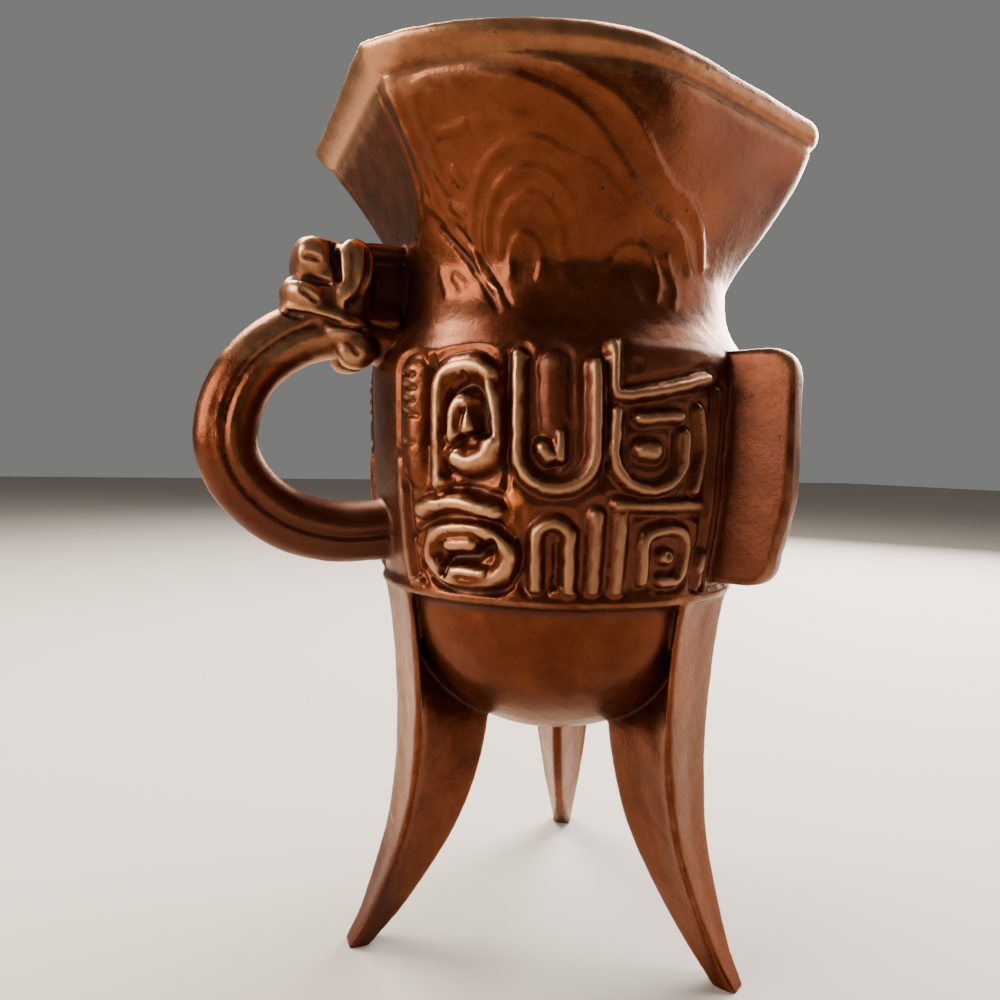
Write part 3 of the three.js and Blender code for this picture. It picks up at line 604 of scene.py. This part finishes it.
# The flare's drawing, with v from 0 at the shoulder's top to 41 at the rim.
OUTER_SWEEP = [(-24.4, 18), (-24.0, 36.4), (-21.6, 37.8), (-13.6, 37.6), (-6, 36.4), (0, 34.4)]
OUTER_SWEEP += [(8, 30), (14, 24.2), (19, 20.4), (24.2, 19), (29, 15.6), (33, 9.6)]
INNER_SWEEP = [(-21.4, 22), (-21.2, 33.6), (-13, 34.4), (-5, 32.6), (2, 28.8)]
INNER_SWEEP += [(9, 22), (14.6, 17), (19.8, 15.2), (24, 14), (29, 8.2)]
NECK_RIDGES = [
    (OUTER_SWEEP, 1.7, 0.75),
    (INNER_SWEEP, 1.4, 0.6),
    ([(-19.6, 28), (-14.8, 28.2)], 1.5, 0.6),
    ([(-12.8, 28.6), (-5.6, 28.2)], 1.5, 0.5),
    ([*arc(-6, 9, 12.2, 16.2, 170, 10, 16)], 1.4, 0.55),
    ([*arc(-6, 9, 9.2, 12.4, 172, 6, 16)], 1.4, 0.6),
    ([*arc(-6, 9, 6.2, 8.8, 175, 0, 14)], 1.4, 0.6),
    ([*arc(-7, 7.6, 3.2, 4.6, 200, -30, 12)], 1.4, 0.6),
    ([*arc(5.4, 15, 3.4, 3.2, 180, -20, 8)], 1.2, 0.5),
    ([*arc(11, 12, 3.2, 3.0, 190, -40, 8)], 1.2, 0.5),
    ([(8.8, 7), (12, 10.6), (17, 10.4), (20.4, 6), (19.6, 2.6)], 1.5, 0.6),
    ([(4, 22), (8.6, 18.4), (12.8, 15.4)], 1.2, 0.45),
    ([(-3, 24.6), (2, 22.4), (6, 18.8)], 1.2, 0.45),
    ([(22, 9.6), (25, 4.6), (24, 1.6)], 1.4, 0.5),
    ([(-17.8, 10.8), (-16.6, 5.6), (-12.4, 3.4)], 1.4, 0.55),
    ([(-21.8, 23.6), (-20.4, 20.2)], 1.8, 0.6),
    ([(-18.6, 22.6), (-17.6, 21)], 1.9, 0.7),
    ([(-20.4, 17.6), (-18.8, 16.6)], 1.9, 0.6),
    ([(-17.8, 14.6), (-18.4, 13)], 1.8, 0.6),
    ([(-22.8, 6.4), (-20.8, 4.6)], 2.2, 0.6),
    ([(-26.6, 19.6), (-22.6, 15.8)], 2.0, 0.6),
    ([(-27.2, 7.6), (-25, 4)], 2.0, 0.6),
    ([(0.6, 6), (3.6, 2.6)], 2.0, 0.4),
    ([(13.6, 5.2), (15.6, 2.2)], 1.8, 0.45),
]
NECK_GROOVES = [
    ([(-24.8, 14.6), (-17.8, 7), (-11.8, -0.6)], 1.3, 0.9),
    ([(-22.2, 15.8), (-15.4, 8.4), (-9.6, 0.4)], 0.9, 0.5),
    ([(-27.2, 39), (-27.2, 20), (-33.5, 14)], 1.6, 0.5),
]

# The grooves on the side of the head, by distance out behind the axis and height.
HEAD_GROOVES = [
    ([(49.4, 139.2), (49.3, 136), (48.9, 132.6)], 1.5, 1.3),
    ([(58.2, 132.8), (54.4, 132.2), (50.6, 131.6)], 1.3, 1.0),
    ([(57.6, 125.8), (52.6, 125), (47.6, 123.9), (43.6, 123.4)], 1.2, 0.9),
    ([(43.2, 138), (43.4, 133.4), (44.6, 129.8), (46.8, 127.9)], 1.3, 1.0),
    ([(54.9, 136), (52.6, 135.6)], 0.9, 0.7),
    ([(55.2, 129.6), (53.2, 128.2)], 0.9, 0.6),
    ([(46.2, 137), (46.4, 132.6)], 0.5, 0.35),
    ([(46.6, 120.8), (45.2, 118.9)], 0.9, 0.4),
]

# The middle of each panel in degrees, and which way its drawing runs.
PANELS = [(-115.0, 1), (0.0, 1), (115.0, -1)]
PANEL_HALF_ANGLE = 47.6
DRAWING_HALF_WIDTH = 32.0

# The band's ground stands a little proud and dips beside each ridge. The flare's drawing is worn low.
BAND_GROUND = 0.35
BAND_MOAT = 0.55
FLARE_SHARE = 0.55
UNDER_LIP_GROOVE = 0.22

# The cup's inside is plain: what faces the axis nearer than this takes no ornament.
INSIDE_RADIUS = 38
RUST_PLACE = (-7.2, 19)


def distance_to(line, u, v):
    """How far each place is from a line on the drawing, drawn as a smooth curve."""
    if len(line) > 2:
        line = curve_through(line, 4)
    nearest = np.full(u.shape, 1e9)
    for (low_u, low_v), (high_u, high_v) in zip(line, line[1:]):
        run_u, run_v = high_u - low_u, high_v - low_v
        length = run_u**2 + run_v**2
        share = np.clip(((u - low_u) * run_u + (v - low_v) * run_v) / length, 0, 1)
        nearest = np.minimum(nearest, np.hypot(u - low_u - share * run_u, v - low_v - share * run_v))
    return nearest


def carved(ridges, grooves, pits, u, v, moat):
    """The height of a drawing above its ground at each place, in millimetres, with a moat by each ridge."""
    wave = 0.22 * np.sin(0.9 * u + 1.3) * np.sin(1.1 * v) + 0.12 * np.sin(2.3 * u - 1.7 * v)
    height = np.zeros(u.shape)
    sunk = np.zeros(u.shape)
    for line, width, up in ridges:
        gap = distance_to(line, u, v) + 0.4 * wave - 0.5 * width
        height = np.maximum(height, up * (1 - smoothstep(gap, -0.42 * width, 0.6)))
        sunk = np.maximum(sunk, moat * smoothstep(gap, -0.1, 0.6) * (1 - smoothstep(gap, 0.9, 2.2)))
    height -= sunk * (1 - smoothstep(height, 0, 0.5))
    for line, width, deep in grooves:
        gap = distance_to(line, u, v) + 0.3 * wave
        height -= deep * (1 - smoothstep(gap, 0.1 * width, 0.5 * width + 0.3))
    for pit_u, pit_v, size, deep in pits:
        height -= deep * (1 - smoothstep(np.hypot(u - pit_u, v - pit_v), 0.2 * size, size + 0.3))
    return height


def relief(points):
    """How far the ornament lifts each point from the plain wall, and how much of the wall is under it."""
    angle = np.arctan2(points[:, 1], points[:, 0])
    radius = np.hypot(points[:, 0], points[:, 1])
    z = points[:, 2]
    on_wall = 1 - smoothstep(np.abs(radius - body_radius(angle, z)), 0.5, 1.5)
    height = np.zeros(len(points))
    for middle, way in PANELS:
        turn = angle - math.radians(middle)
        turn = np.degrees(np.arctan2(np.sin(turn), np.cos(turn)))
        u = way * turn * DRAWING_HALF_WIDTH / PANEL_HALF_ANGLE
        near = np.abs(turn) < PANEL_HALF_ANGLE + 3
        band = near & (z > BAND_BOTTOM_Z + 0.5) & (z < BAND_TOP_Z + 4.5) & (on_wall > 0)
        fade = smoothstep(z[band], BAND_BOTTOM_Z + 1.2, BAND_BOTTOM_Z + 2.4)
        fade *= 1 - smoothstep(z[band], BAND_TOP_Z + 1.5, BAND_TOP_Z + 4)
        drawn = carved(BAND_RIDGES, BAND_GROOVES, BAND_PITS, u[band], z[band] - BAND_BOTTOM_Z, BAND_MOAT)
        height[band] += fade * (BAND_GROUND + drawn)
        if middle:
            neck = near & (z > SHOULDER_TOP_Z - 2) & (z < RIM_Z - LIP_HEIGHT) & (on_wall > 0)
            fade = smoothstep(z[neck], SHOULDER_TOP_Z - 2, SHOULDER_TOP_Z + 1)
            drawn = carved(NECK_RIDGES, NECK_GROOVES, [], u[neck], z[neck] - SHOULDER_TOP_Z, 0)
            height[neck] += fade * FLARE_SHARE * drawn
    under_lip = RIM_Z - LIP_HEIGHT - 0.3
    height -= UNDER_LIP_GROOVE * (1 - smoothstep(np.abs(z - under_lip), 0.2, 0.9))
    height *= on_wall
    out, across = -points[:, 0], np.abs(points[:, 1])
    head = (out > 41.5) & (across > 2.2) & (z > 115) & (z < 142)
    height[head] += carved([], HEAD_GROOVES, [], out[head], z[head], 0) * smoothstep(across[head], 2.2, 4)
    return height, on_wall


def unevenness(points):
    """The slight waviness of a hand-finished casting."""
    x, y, z = points.T
    soft = np.sin(0.21 * x + 0.13 * z) * np.sin(0.17 * y - 0.19 * z + 1)
    soft += 0.6 * np.sin(0.31 * y + 0.27 * x - 0.11 * z)
    fine = np.sin(0.9 * x + 0.7 * z) * np.sin(0.8 * y - 0.6 * z + 2) * np.sin(0.75 * z + 0.4 * x)
    return 0.07 * soft + 0.05 * fine


def carve(skin):
    """Raises the ornament and the casting's unevenness on the dense skin."""
    mesh = skin.data
    points = read_points(mesh)
    normals = read_normals(mesh)
    height, _ = relief(points)
    facing = normals[:, 0] * points[:, 0] + normals[:, 1] * points[:, 1]
    inside = (facing < 0) & (np.hypot(points[:, 0], points[:, 1]) < INSIDE_RADIUS)
    height = np.where(inside, 0, height)
    height += unevenness(points) * smoothstep(points[:, 2], 0.5, 6)
    points += normals * height[:, None]
    edges = read_edges(mesh)
    points = (points + neighbour_mean(points, edges, 1)) / 2
    points[:, 2] = np.clip(points[:, 2], 0, RIM_Z)
    mesh.vertices.foreach_set("co", points.astype(np.float32).ravel())
    mesh.update()


def neighbour_mean(points, edges, times):
    """Each point moved towards the middle of its neighbours, a number of times."""
    count = np.bincount(edges.ravel(), minlength=len(points))[:, None]
    low, high = edges.T
    moved = points.copy()
    for _ in range(times):
        total = np.zeros_like(moved)
        for axis in range(3):
            total[:, axis] += np.bincount(low, weights=moved[high, axis], minlength=len(points))
            total[:, axis] += np.bincount(high, weights=moved[low, axis], minlength=len(points))
        moved = total / count
    return moved


def wear_and_light_of(mesh):
    """How dark the dense skin is painted, from the patina of its hollows and from painted shade; how light,
    from rubbing and from painted highlights; and where the rust spot lies, each from 0 to 1.
    """
    points = read_points(mesh)
    normals = read_normals(mesh)
    edges = read_edges(mesh)
    narrow = neighbour_mean(points, edges, 6)
    wide = ((neighbour_mean(narrow, edges, 30) - points) * normals).sum(1)
    narrow = ((narrow - points) * normals).sum(1)
    lift, on_wall = relief(points)
    # Concave places are darkened: partly the dark patina of hollows, partly painted shade in the manner of
    # ambient occlusion.
    hollow = np.clip((wide - 0.07) / 0.4, 0, 1)
    worn_and_highlit = np.clip((-wide - 0.2) / 0.5 + (-narrow - 0.06) / 0.35, 0, 1)

    # The legs are rubbed little. In the band the ridges are rubbed evenly and the ground is less dark.
    z = points[:, 2]
    worn_and_highlit *= 0.25 + 0.75 * smoothstep(z, 70, 78)
    in_band = on_wall * smoothstep(z, 75, 77) * (1 - smoothstep(z, BAND_TOP_Z, 121))
    worn_and_highlit *= 1 - 0.82 * in_band
    hollow *= 1 - 0.6 * in_band
    worn_and_highlit = np.clip(worn_and_highlit + 0.13 * in_band * smoothstep(lift, 0.4, 1.5), 0, 1)

    # Painted shade: the recess behind the head and the flanges are darkened where they lie in shade, and the
    # lower handle is darkened partly for its patina and partly as painted shade.
    out, across = -points[:, 0], np.abs(points[:, 1])
    behind_head = (out > 34.5) & (out < 43.5) & (across < 4.5) & (z > 121) & (z < 139.7)
    hollow = np.maximum(hollow, behind_head)
    low_handle = smoothstep(out, 33, 38) * (1 - smoothstep(z, 84, 108))
    on_flange = (np.hypot(points[:, 0], points[:, 1]) > 35) & (out < 20) & (z > 76) & (z < 121)
    hollow = np.maximum(hollow, 0.6 * low_handle + 0.4 * on_flange)

    # Painted highlights: the head and the lip take the rubbed colour where light falls on them.
    on_head = smoothstep(out, 43, 44.5) * smoothstep(z, 115, 118)
    worn_and_highlit = np.clip(worn_and_highlit + 0.45 * on_head * (1 - hollow), 0, 1)
    worn_and_highlit = np.clip(worn_and_highlit + 0.4 * smoothstep(z, 157, 162), 0, 1)

    # The rust spot, by its place on the first panel's drawing.
    angle = np.degrees(np.arctan2(points[:, 1], points[:, 0]))
    u = (angle - PANELS[0][0]) * DRAWING_HALF_WIDTH / PANEL_HALF_ANGLE
    gap = np.hypot(u - RUST_PLACE[0], z - BAND_BOTTOM_Z - RUST_PLACE[1])
    rust = (1 - smoothstep(gap, 0.6, 2.0)) * on_wall
    return points, {"hollow": hollow, "worn_and_highlit": worn_and_highlit, "rust": rust}


def thinned(skin):
    """Thins the skin to fewer faces, and gives each point that is left the hollowness, rubbing, rust, painted
    shade and painted highlights of the place it came from.
    """
    places, wear_and_light = wear_and_light_of(skin.data)
    triangles = sum(len(p.vertices) - 2 for p in skin.data.polygons)
    thin = skin.modifiers.new("thin", "DECIMATE")
    thin.ratio = min(1.0, MOST_TRIANGLES / triangles)
    mesh = applied(skin)
    tree = KDTree(len(places))
    for i, place in enumerate(places):
        tree.insert(place, i)
    tree.balance()
    nearest = [tree.find(vert.co)[1] for vert in mesh.vertices]
    for name, values in wear_and_light.items():
        made = mesh.attributes.new(name, "FLOAT", "POINT")
        made.data.foreach_set("value", values[nearest].astype(np.float32))


def in_place(item, name):
    """Moves the finished mesh to its place in the frame, in metres, smooth-shaded, with no doubled points."""
    mesh = item.data
    mesh.transform(Matrix.Scale(MM, 4) @ Matrix.Translation((AXIS_X, 0, 0)))
    bm = bmesh.new()
    bm.from_mesh(mesh)
    bmesh.ops.remove_doubles(bm, verts=bm.verts[:], dist=1e-6)
    bmesh.ops.recalc_face_normals(bm, faces=bm.faces[:])
    bm.to_mesh(mesh)
    bm.free()
    mesh.shade_smooth()
    item.name = name
    mesh.name = name


def node(tree, kind, **settings):
    made = tree.nodes.new(kind)
    for key, value in settings.items():
        setattr(made, key, value)
    return made


def noise(tree, source, scale, detail, roughness):
    made = node(tree, "ShaderNodeTexNoise")
    made.inputs["Scale"].default_value = scale
    made.inputs["Detail"].default_value = detail
    made.inputs["Roughness"].default_value = roughness
    tree.links.new(source, made.inputs["Vector"])
    return made.outputs["Fac"]


def ranged(tree, value, low, high, out_low=0.0, out_high=1.0):
    made = node(tree, "ShaderNodeMapRange")
    made.inputs["From Min"].default_value = low
    made.inputs["From Max"].default_value = high
    made.inputs["To Min"].default_value = out_low
    made.inputs["To Max"].default_value = out_high
    tree.links.new(value, made.inputs["Value"])
    return made.outputs["Result"]


def combined(tree, how, first, second):
    made = node(tree, "ShaderNodeMath", operation=how)
    for socket, value in zip(made.inputs, (first, second)):
        if isinstance(value, (int, float)):
            socket.default_value = value
        else:
            tree.links.new(value, socket)
    return made.outputs["Value"]


def blended(tree, share, first, second):
    made = node(tree, "ShaderNodeMix", data_type="RGBA")
    tree.links.new(share, made.inputs["Factor"])
    for name, value in (("A", first), ("B", second)):
        socket = next(s for s in made.inputs if s.name == name and s.type == "RGBA")
        if isinstance(value, tuple):
            socket.default_value = (*value, 1)
        else:
            tree.links.new(value, socket)
    return next(s for s in made.outputs if s.type == "RGBA")


def mark(tree, name):
    return node(tree, "ShaderNodeAttribute", attribute_name=name).outputs["Fac"]


# The colours of the metal, from the dark and the light of its patina to its specks and its rust, with a dark
# tone for hollows and painted shade and a rubbed tone that also serves as painted highlight.
PATINA_DARK = (0.068, 0.0145, 0.0042)
PATINA_LIGHT = (0.135, 0.034, 0.0115)
RUBBED_AND_HIGHLIGHT = (0.44, 0.215, 0.105)
DARK_PATINA_AND_SHADE = (0.04, 0.0075, 0.0025)
SPECK = (0.05, 0.014, 0.005)
RUST = (0.6, 0.17, 0.04)
SHEEN_TINT = (1, 0.88, 0.78)


def bronze():
    """Worn brown bronze: dark red-brown in the hollows and in painted shade, coppery where it is rubbed and
    in painted highlights, with specks and pits.
    """
    material = bpy.data.materials.new("brown_bronze")
    material.use_nodes = True
    tree = material.node_tree
    shader = tree.nodes["Principled BSDF"]
    shader.inputs["Specular Tint"].default_value = (*SHEEN_TINT, 1)
    place = node(tree, "ShaderNodeTexCoord").outputs["Object"]
    clouds = noise(tree, place, 38, 5, 0.6)
    mottle = noise(tree, place, 190, 4, 0.65)
    grain = noise(tree, place, 1100, 3, 0.6)
    specks = noise(tree, place, 620, 2, 0.5)
    hollow, worn_and_highlit, rust = (mark(tree, name) for name in ("hollow", "worn_and_highlit", "rust"))
    tone = ranged(tree, combined(tree, "ADD", clouds, combined(tree, "MULTIPLY", mottle, 0.6)), 0.62, 1.02)
    colour = blended(tree, tone, PATINA_DARK, PATINA_LIGHT)
    # The rubbed colour is laid on rubbed edges and ridges and, as a painted highlight, on the head and the
    # lip.
    rub_and_highlight = ranged(tree, combined(tree, "ADD", worn_and_highlit, combined(tree, "MULTIPLY", mottle, 0.5)), 0.45, 1.35)
    colour = blended(tree, rub_and_highlight, colour, RUBBED_AND_HIGHLIGHT)
    # The dark colour is laid in hollows for their patina and, as painted shade, in concave places, the recess
    # behind the head, the lower handle and the flanges.
    dark_patina_and_shade = ranged(tree, combined(tree, "ADD", hollow, combined(tree, "MULTIPLY", mottle, 0.3)), 0.25, 1.0)
    colour = blended(tree, dark_patina_and_shade, colour, DARK_PATINA_AND_SHADE)
    spot = ranged(tree, specks, 0.7, 0.8)
    colour = blended(tree, spot, colour, SPECK)
    colour = blended(tree, rust, colour, RUST)
    tree.links.new(colour, shader.inputs["Base Color"])
    sheen = ranged(tree, mottle, 0.3, 0.75, 0.27, 0.4)
    rough = combined(tree, "ADD", sheen, combined(tree, "MULTIPLY", dark_patina_and_shade, 0.16))
    rough = combined(tree, "ADD", rough, combined(tree, "MULTIPLY", rust, 0.25))
    tree.links.new(rough, shader.inputs["Roughness"])
    metal = combined(tree, "SUBTRACT", 0.9, combined(tree, "MULTIPLY", dark_patina_and_shade, 0.3))
    tree.links.new(metal, shader.inputs["Metallic"])
    height = combined(tree, "MULTIPLY", mottle, 0.7)
    height = combined(tree, "ADD", height, combined(tree, "MULTIPLY", grain, 0.22))
    height = combined(tree, "SUBTRACT", height, combined(tree, "MULTIPLY", spot, 0.2))
    bump = node(tree, "ShaderNodeBump")
    bump.inputs["Strength"].default_value = 0.5
    bump.inputs["Distance"].default_value = 0.00035
    tree.links.new(height, bump.inputs["Height"])
    tree.links.new(bump.outputs["Normal"], shader.inputs["Normal"])
    return material


FLOOR_COLOUR = (0.43, 0.37, 0.31, 1)
FLOOR_HALF_SIZE = 3.0


def floor():
    bm = bmesh.new()
    bmesh.ops.create_grid(bm, x_segments=2, y_segments=2, size=FLOOR_HALF_SIZE)
    mesh = bpy.data.meshes.new("floor")
    bm.to_mesh(mesh)
    bm.free()
    made = bpy.data.objects.new("floor", mesh)
    bpy.context.scene.collection.objects.link(made)
    material = bpy.data.materials.new("pale_floor")
    material.use_nodes = True
    shader = material.node_tree.nodes["Principled BSDF"]
    shader.inputs["Base Color"].default_value = FLOOR_COLOUR
    shader.inputs["Roughness"].default_value = 0.75
    mesh.materials.append(material)


# Each light's name, place, size in metres, power and colour. All look at the cup's middle.
LIGHTS = [
    ("window_right", (0.66, 0.42, 0.44), (0.6, 0.5), 28, (1, 0.98, 0.96)),
    ("ceiling_right", (0.38, 0.12, 0.78), (0.36, 0.36), 9, (1, 0.98, 0.96)),
    ("panel_right", (0.7, -0.25, 0.2), (0.3, 0.6), 2, (1, 0.95, 0.92)),
    ("ceiling_left", (-0.2, 0.38, 0.66), (0.5, 0.36), 15, (1, 0.95, 0.88)),
    ("panel_left", (-0.72, -0.05, 0.3), (0.45, 0.4), 9, (1, 0.94, 0.86)),
]
CUP_MIDDLE = Vector((AXIS_X * MM, 0, 0.1))
WORLD_COLOUR = (0.9, 0.9, 0.88, 1)
WORLD_STRENGTH = 0.22


def soft_light(name, place, size, power, colour):
    data = bpy.data.lights.new(name, "AREA")
    data.shape = "RECTANGLE"
    data.size, data.size_y = size
    data.energy = power
    data.color = colour
    lamp = bpy.data.objects.new(name, data)
    lamp.location = place
    lamp.rotation_mode = "QUATERNION"
    lamp.rotation_quaternion = (CUP_MIDDLE - Vector(place)).to_track_quat("-Z", "Y")
    bpy.context.scene.collection.objects.link(lamp)


def studio():
    for light in LIGHTS:
        soft_light(*light)
    world = bpy.data.worlds.new("studio")
    world.use_nodes = True
    background = world.node_tree.nodes["Background"]
    background.inputs["Color"].default_value = WORLD_COLOUR
    background.inputs["Strength"].default_value = WORLD_STRENGTH
    bpy.context.scene.world = world


# The camera's turn, dip, roll and swing about the cup in degrees, its distance in metres and its lens.
CAMERA_ANGLES = (4.0, 3.1, -1.1, -25.0)
CAMERA_DISTANCE = 0.175
LENS = 28.8


def camera():
    """The camera stands close to the cup, a little above its middle, with a slight turn, dip and roll."""
    turn, dip, roll, swing = map(math.radians, CAMERA_ANGLES)
    ahead = Vector((-math.sin(turn) * math.cos(dip), math.cos(turn) * math.cos(dip), -math.sin(dip)))
    level = Vector((math.cos(turn), math.sin(turn), 0))
    upright = level.cross(ahead)
    right = level * math.cos(roll) - upright * math.sin(roll)
    up = upright * math.cos(roll) + level * math.sin(roll)
    swung = Matrix.Rotation(swing, 3, "Z")
    ahead, right, up = swung @ ahead, swung @ right, swung @ up
    data = bpy.data.cameras.new("camera")
    data.lens = LENS
    data.sensor_width = 36
    data.clip_start = 0.01
    made = bpy.data.objects.new("camera", data)
    spot = swung @ Vector((0, -CAMERA_DISTANCE, 0)) + CUP_MIDDLE
    basis = Matrix((right, up, -ahead)).transposed()
    made.matrix_world = Matrix.Translation(spot) @ basis.to_4x4()
    bpy.context.scene.collection.objects.link(made)
    bpy.context.scene.camera = made


jue = cast_skin(
    [
        vessel(),
        *[leg(angle) for angle in LEG_ANGLES],
        handle(),
        *[flange(angle) for angle in FLANGE_ANGLES],
        *beast_head(),
    ]
)
applied(jue)
carve(jue)
thinned(jue)
in_place(jue, "jue_cup")
jue.data.materials.append(bronze())
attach(jue, "root")
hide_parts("jue")

floor()
studio()
camera()
